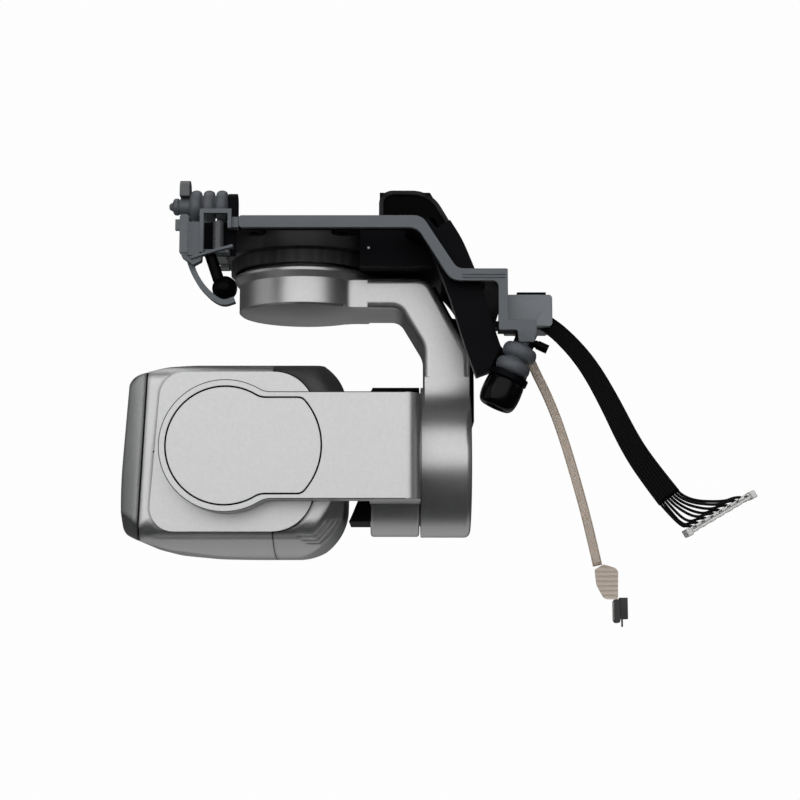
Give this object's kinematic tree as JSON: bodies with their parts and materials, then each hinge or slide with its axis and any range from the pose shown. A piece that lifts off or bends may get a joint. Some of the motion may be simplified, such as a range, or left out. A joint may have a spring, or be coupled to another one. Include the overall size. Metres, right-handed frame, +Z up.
{
  "type": "camera gimbal",
  "caption": "Compact drone camera gimbal hung on soft dampers, turning its boxy camera in yaw, roll and pitch, with two flat cables hanging behind.",
  "frame": {"origin": "on the yaw axis at the top plane of the damping frame, in the middle of its four fixing holes", "axes": "+Z up along the yaw axis, -X the way the lens looks, -Y the side of the pitch arm"},
  "size_m": [0.0836, 0.0392, 0.0588],
  "materials": {
    "silver_paint": "fine satin silver-grey paint",
    "graphite_paint": "satin graphite paint",
    "frame_grey": "moulded grey plastic",
    "black_plastic": "moulded black plastic",
    "black_satin": "satin black",
    "boot_rubber": "soft rubber",
    "black_rubber": "glossy soft rubber",
    "copper_wire": "enamelled copper",
    "motor_steel": "laminated steel",
    "bright_steel": "ground steel",
    "dark_screws": "blackened steel",
    "lens_glass": "coated optical glass",
    "circuit_board": "solder mask",
    "cable_black": "black insulation",
    "connector_white": "white housing with tinned contacts",
    "flex_beige": "polyimide flex with coverlay",
    "connector_dark": "dark connector housing"
  },
  "bodies": {
    "outer_frame": {"damping_frame": "frame_grey", "front_cradle": "frame_grey", "front_dampers": "boot_rubber", "near_rear_damper": "boot_rubber", "far_rear_damper": "boot_rubber", "bumpers": "black_rubber", "cable_block": "frame_grey", "cable_block_pad": "black_plastic", "cable_block_screws": "dark_screws", "signal_cable": "cable_black", "signal_wires": "cable_black", "signal_connector": "connector_white", "flex_ribbon": "flex_beige", "flex_head": "flex_beige", "flex_connector": "connector_dark"},
    "isolated_mount": {"inner_bracket": "black_plastic", "rear_hood": "black_satin", "damper_tails": "black_rubber", "damper_bulbs": "black_rubber", "yaw_motor_housing": "black_plastic", "yaw_stator": "motor_steel", "yaw_windings": "copper_wire", "yaw_bearings": "bright_steel", "bracket_screws": "dark_screws"},
    "yaw_arm": {"yaw_arm": "silver_paint", "yaw_shaft": "bright_steel", "yaw_magnet_ring": "motor_steel", "yaw_arm_cover": "black_plastic", "roll_stator": "motor_steel", "roll_windings": "copper_wire", "roll_bearings": "bright_steel", "housing_screws": "dark_screws"},
    "roll_arm": {"roll_drum": "silver_paint", "roll_shaft": "bright_steel", "roll_magnet_ring": "motor_steel", "roll_pad": "black_plastic", "roll_driver_board": "circuit_board", "tilt_stop": "black_plastic", "pitch_arm": "silver_paint", "pitch_cover": "silver_paint", "pitch_arm_liner": "black_plastic", "pitch_stator": "motor_steel", "pitch_windings": "copper_wire", "pitch_bearings": "bright_steel"},
    "camera": {"camera_body": "silver_paint", "front_ring": "graphite_paint", "front_gasket": "black_rubber", "front_glass": "lens_glass", "lens_barrel": "black_plastic", "lens_elements": "lens_glass", "side_plate_near": "silver_paint", "side_plate_far": "silver_paint", "rear_shell": "black_satin", "heat_sink": "silver_paint", "sensor_board": "circuit_board", "image_sensor": "circuit_board", "pitch_shaft": "bright_steel", "pitch_magnet_ring": "motor_steel", "balance_weight": "bright_steel", "body_screws": "dark_screws"}
  },
  "joints": [
    {"name": "isolator_travel", "type": "slide", "parent": "outer_frame", "child": "isolated_mount", "axis": [0, 0, 1], "range_m": [-0.0006, 0.0006], "stiffness_N_per_m": 1500, "springref_m": 0.0003, "deforming": ["front_dampers", "near_rear_damper", "far_rear_damper"]},
    {"name": "yaw", "type": "hinge", "parent": "isolated_mount", "child": "yaw_arm", "pos_m": [0, 0, -0.005], "axis": [0, 0, 1], "range_deg": [-90, 90]},
    {"name": "roll", "type": "hinge", "parent": "yaw_arm", "child": "roll_arm", "pos_m": [0.016, 0, -0.0306], "axis": [1, 0, 0], "range_deg": [-35, 35]},
    {"name": "pitch", "type": "hinge", "parent": "roll_arm", "child": "camera", "pos_m": [-0.0093, -0.0125, -0.0301], "axis": [0, 1, 0], "range_deg": [-120, 45]}
  ]
}
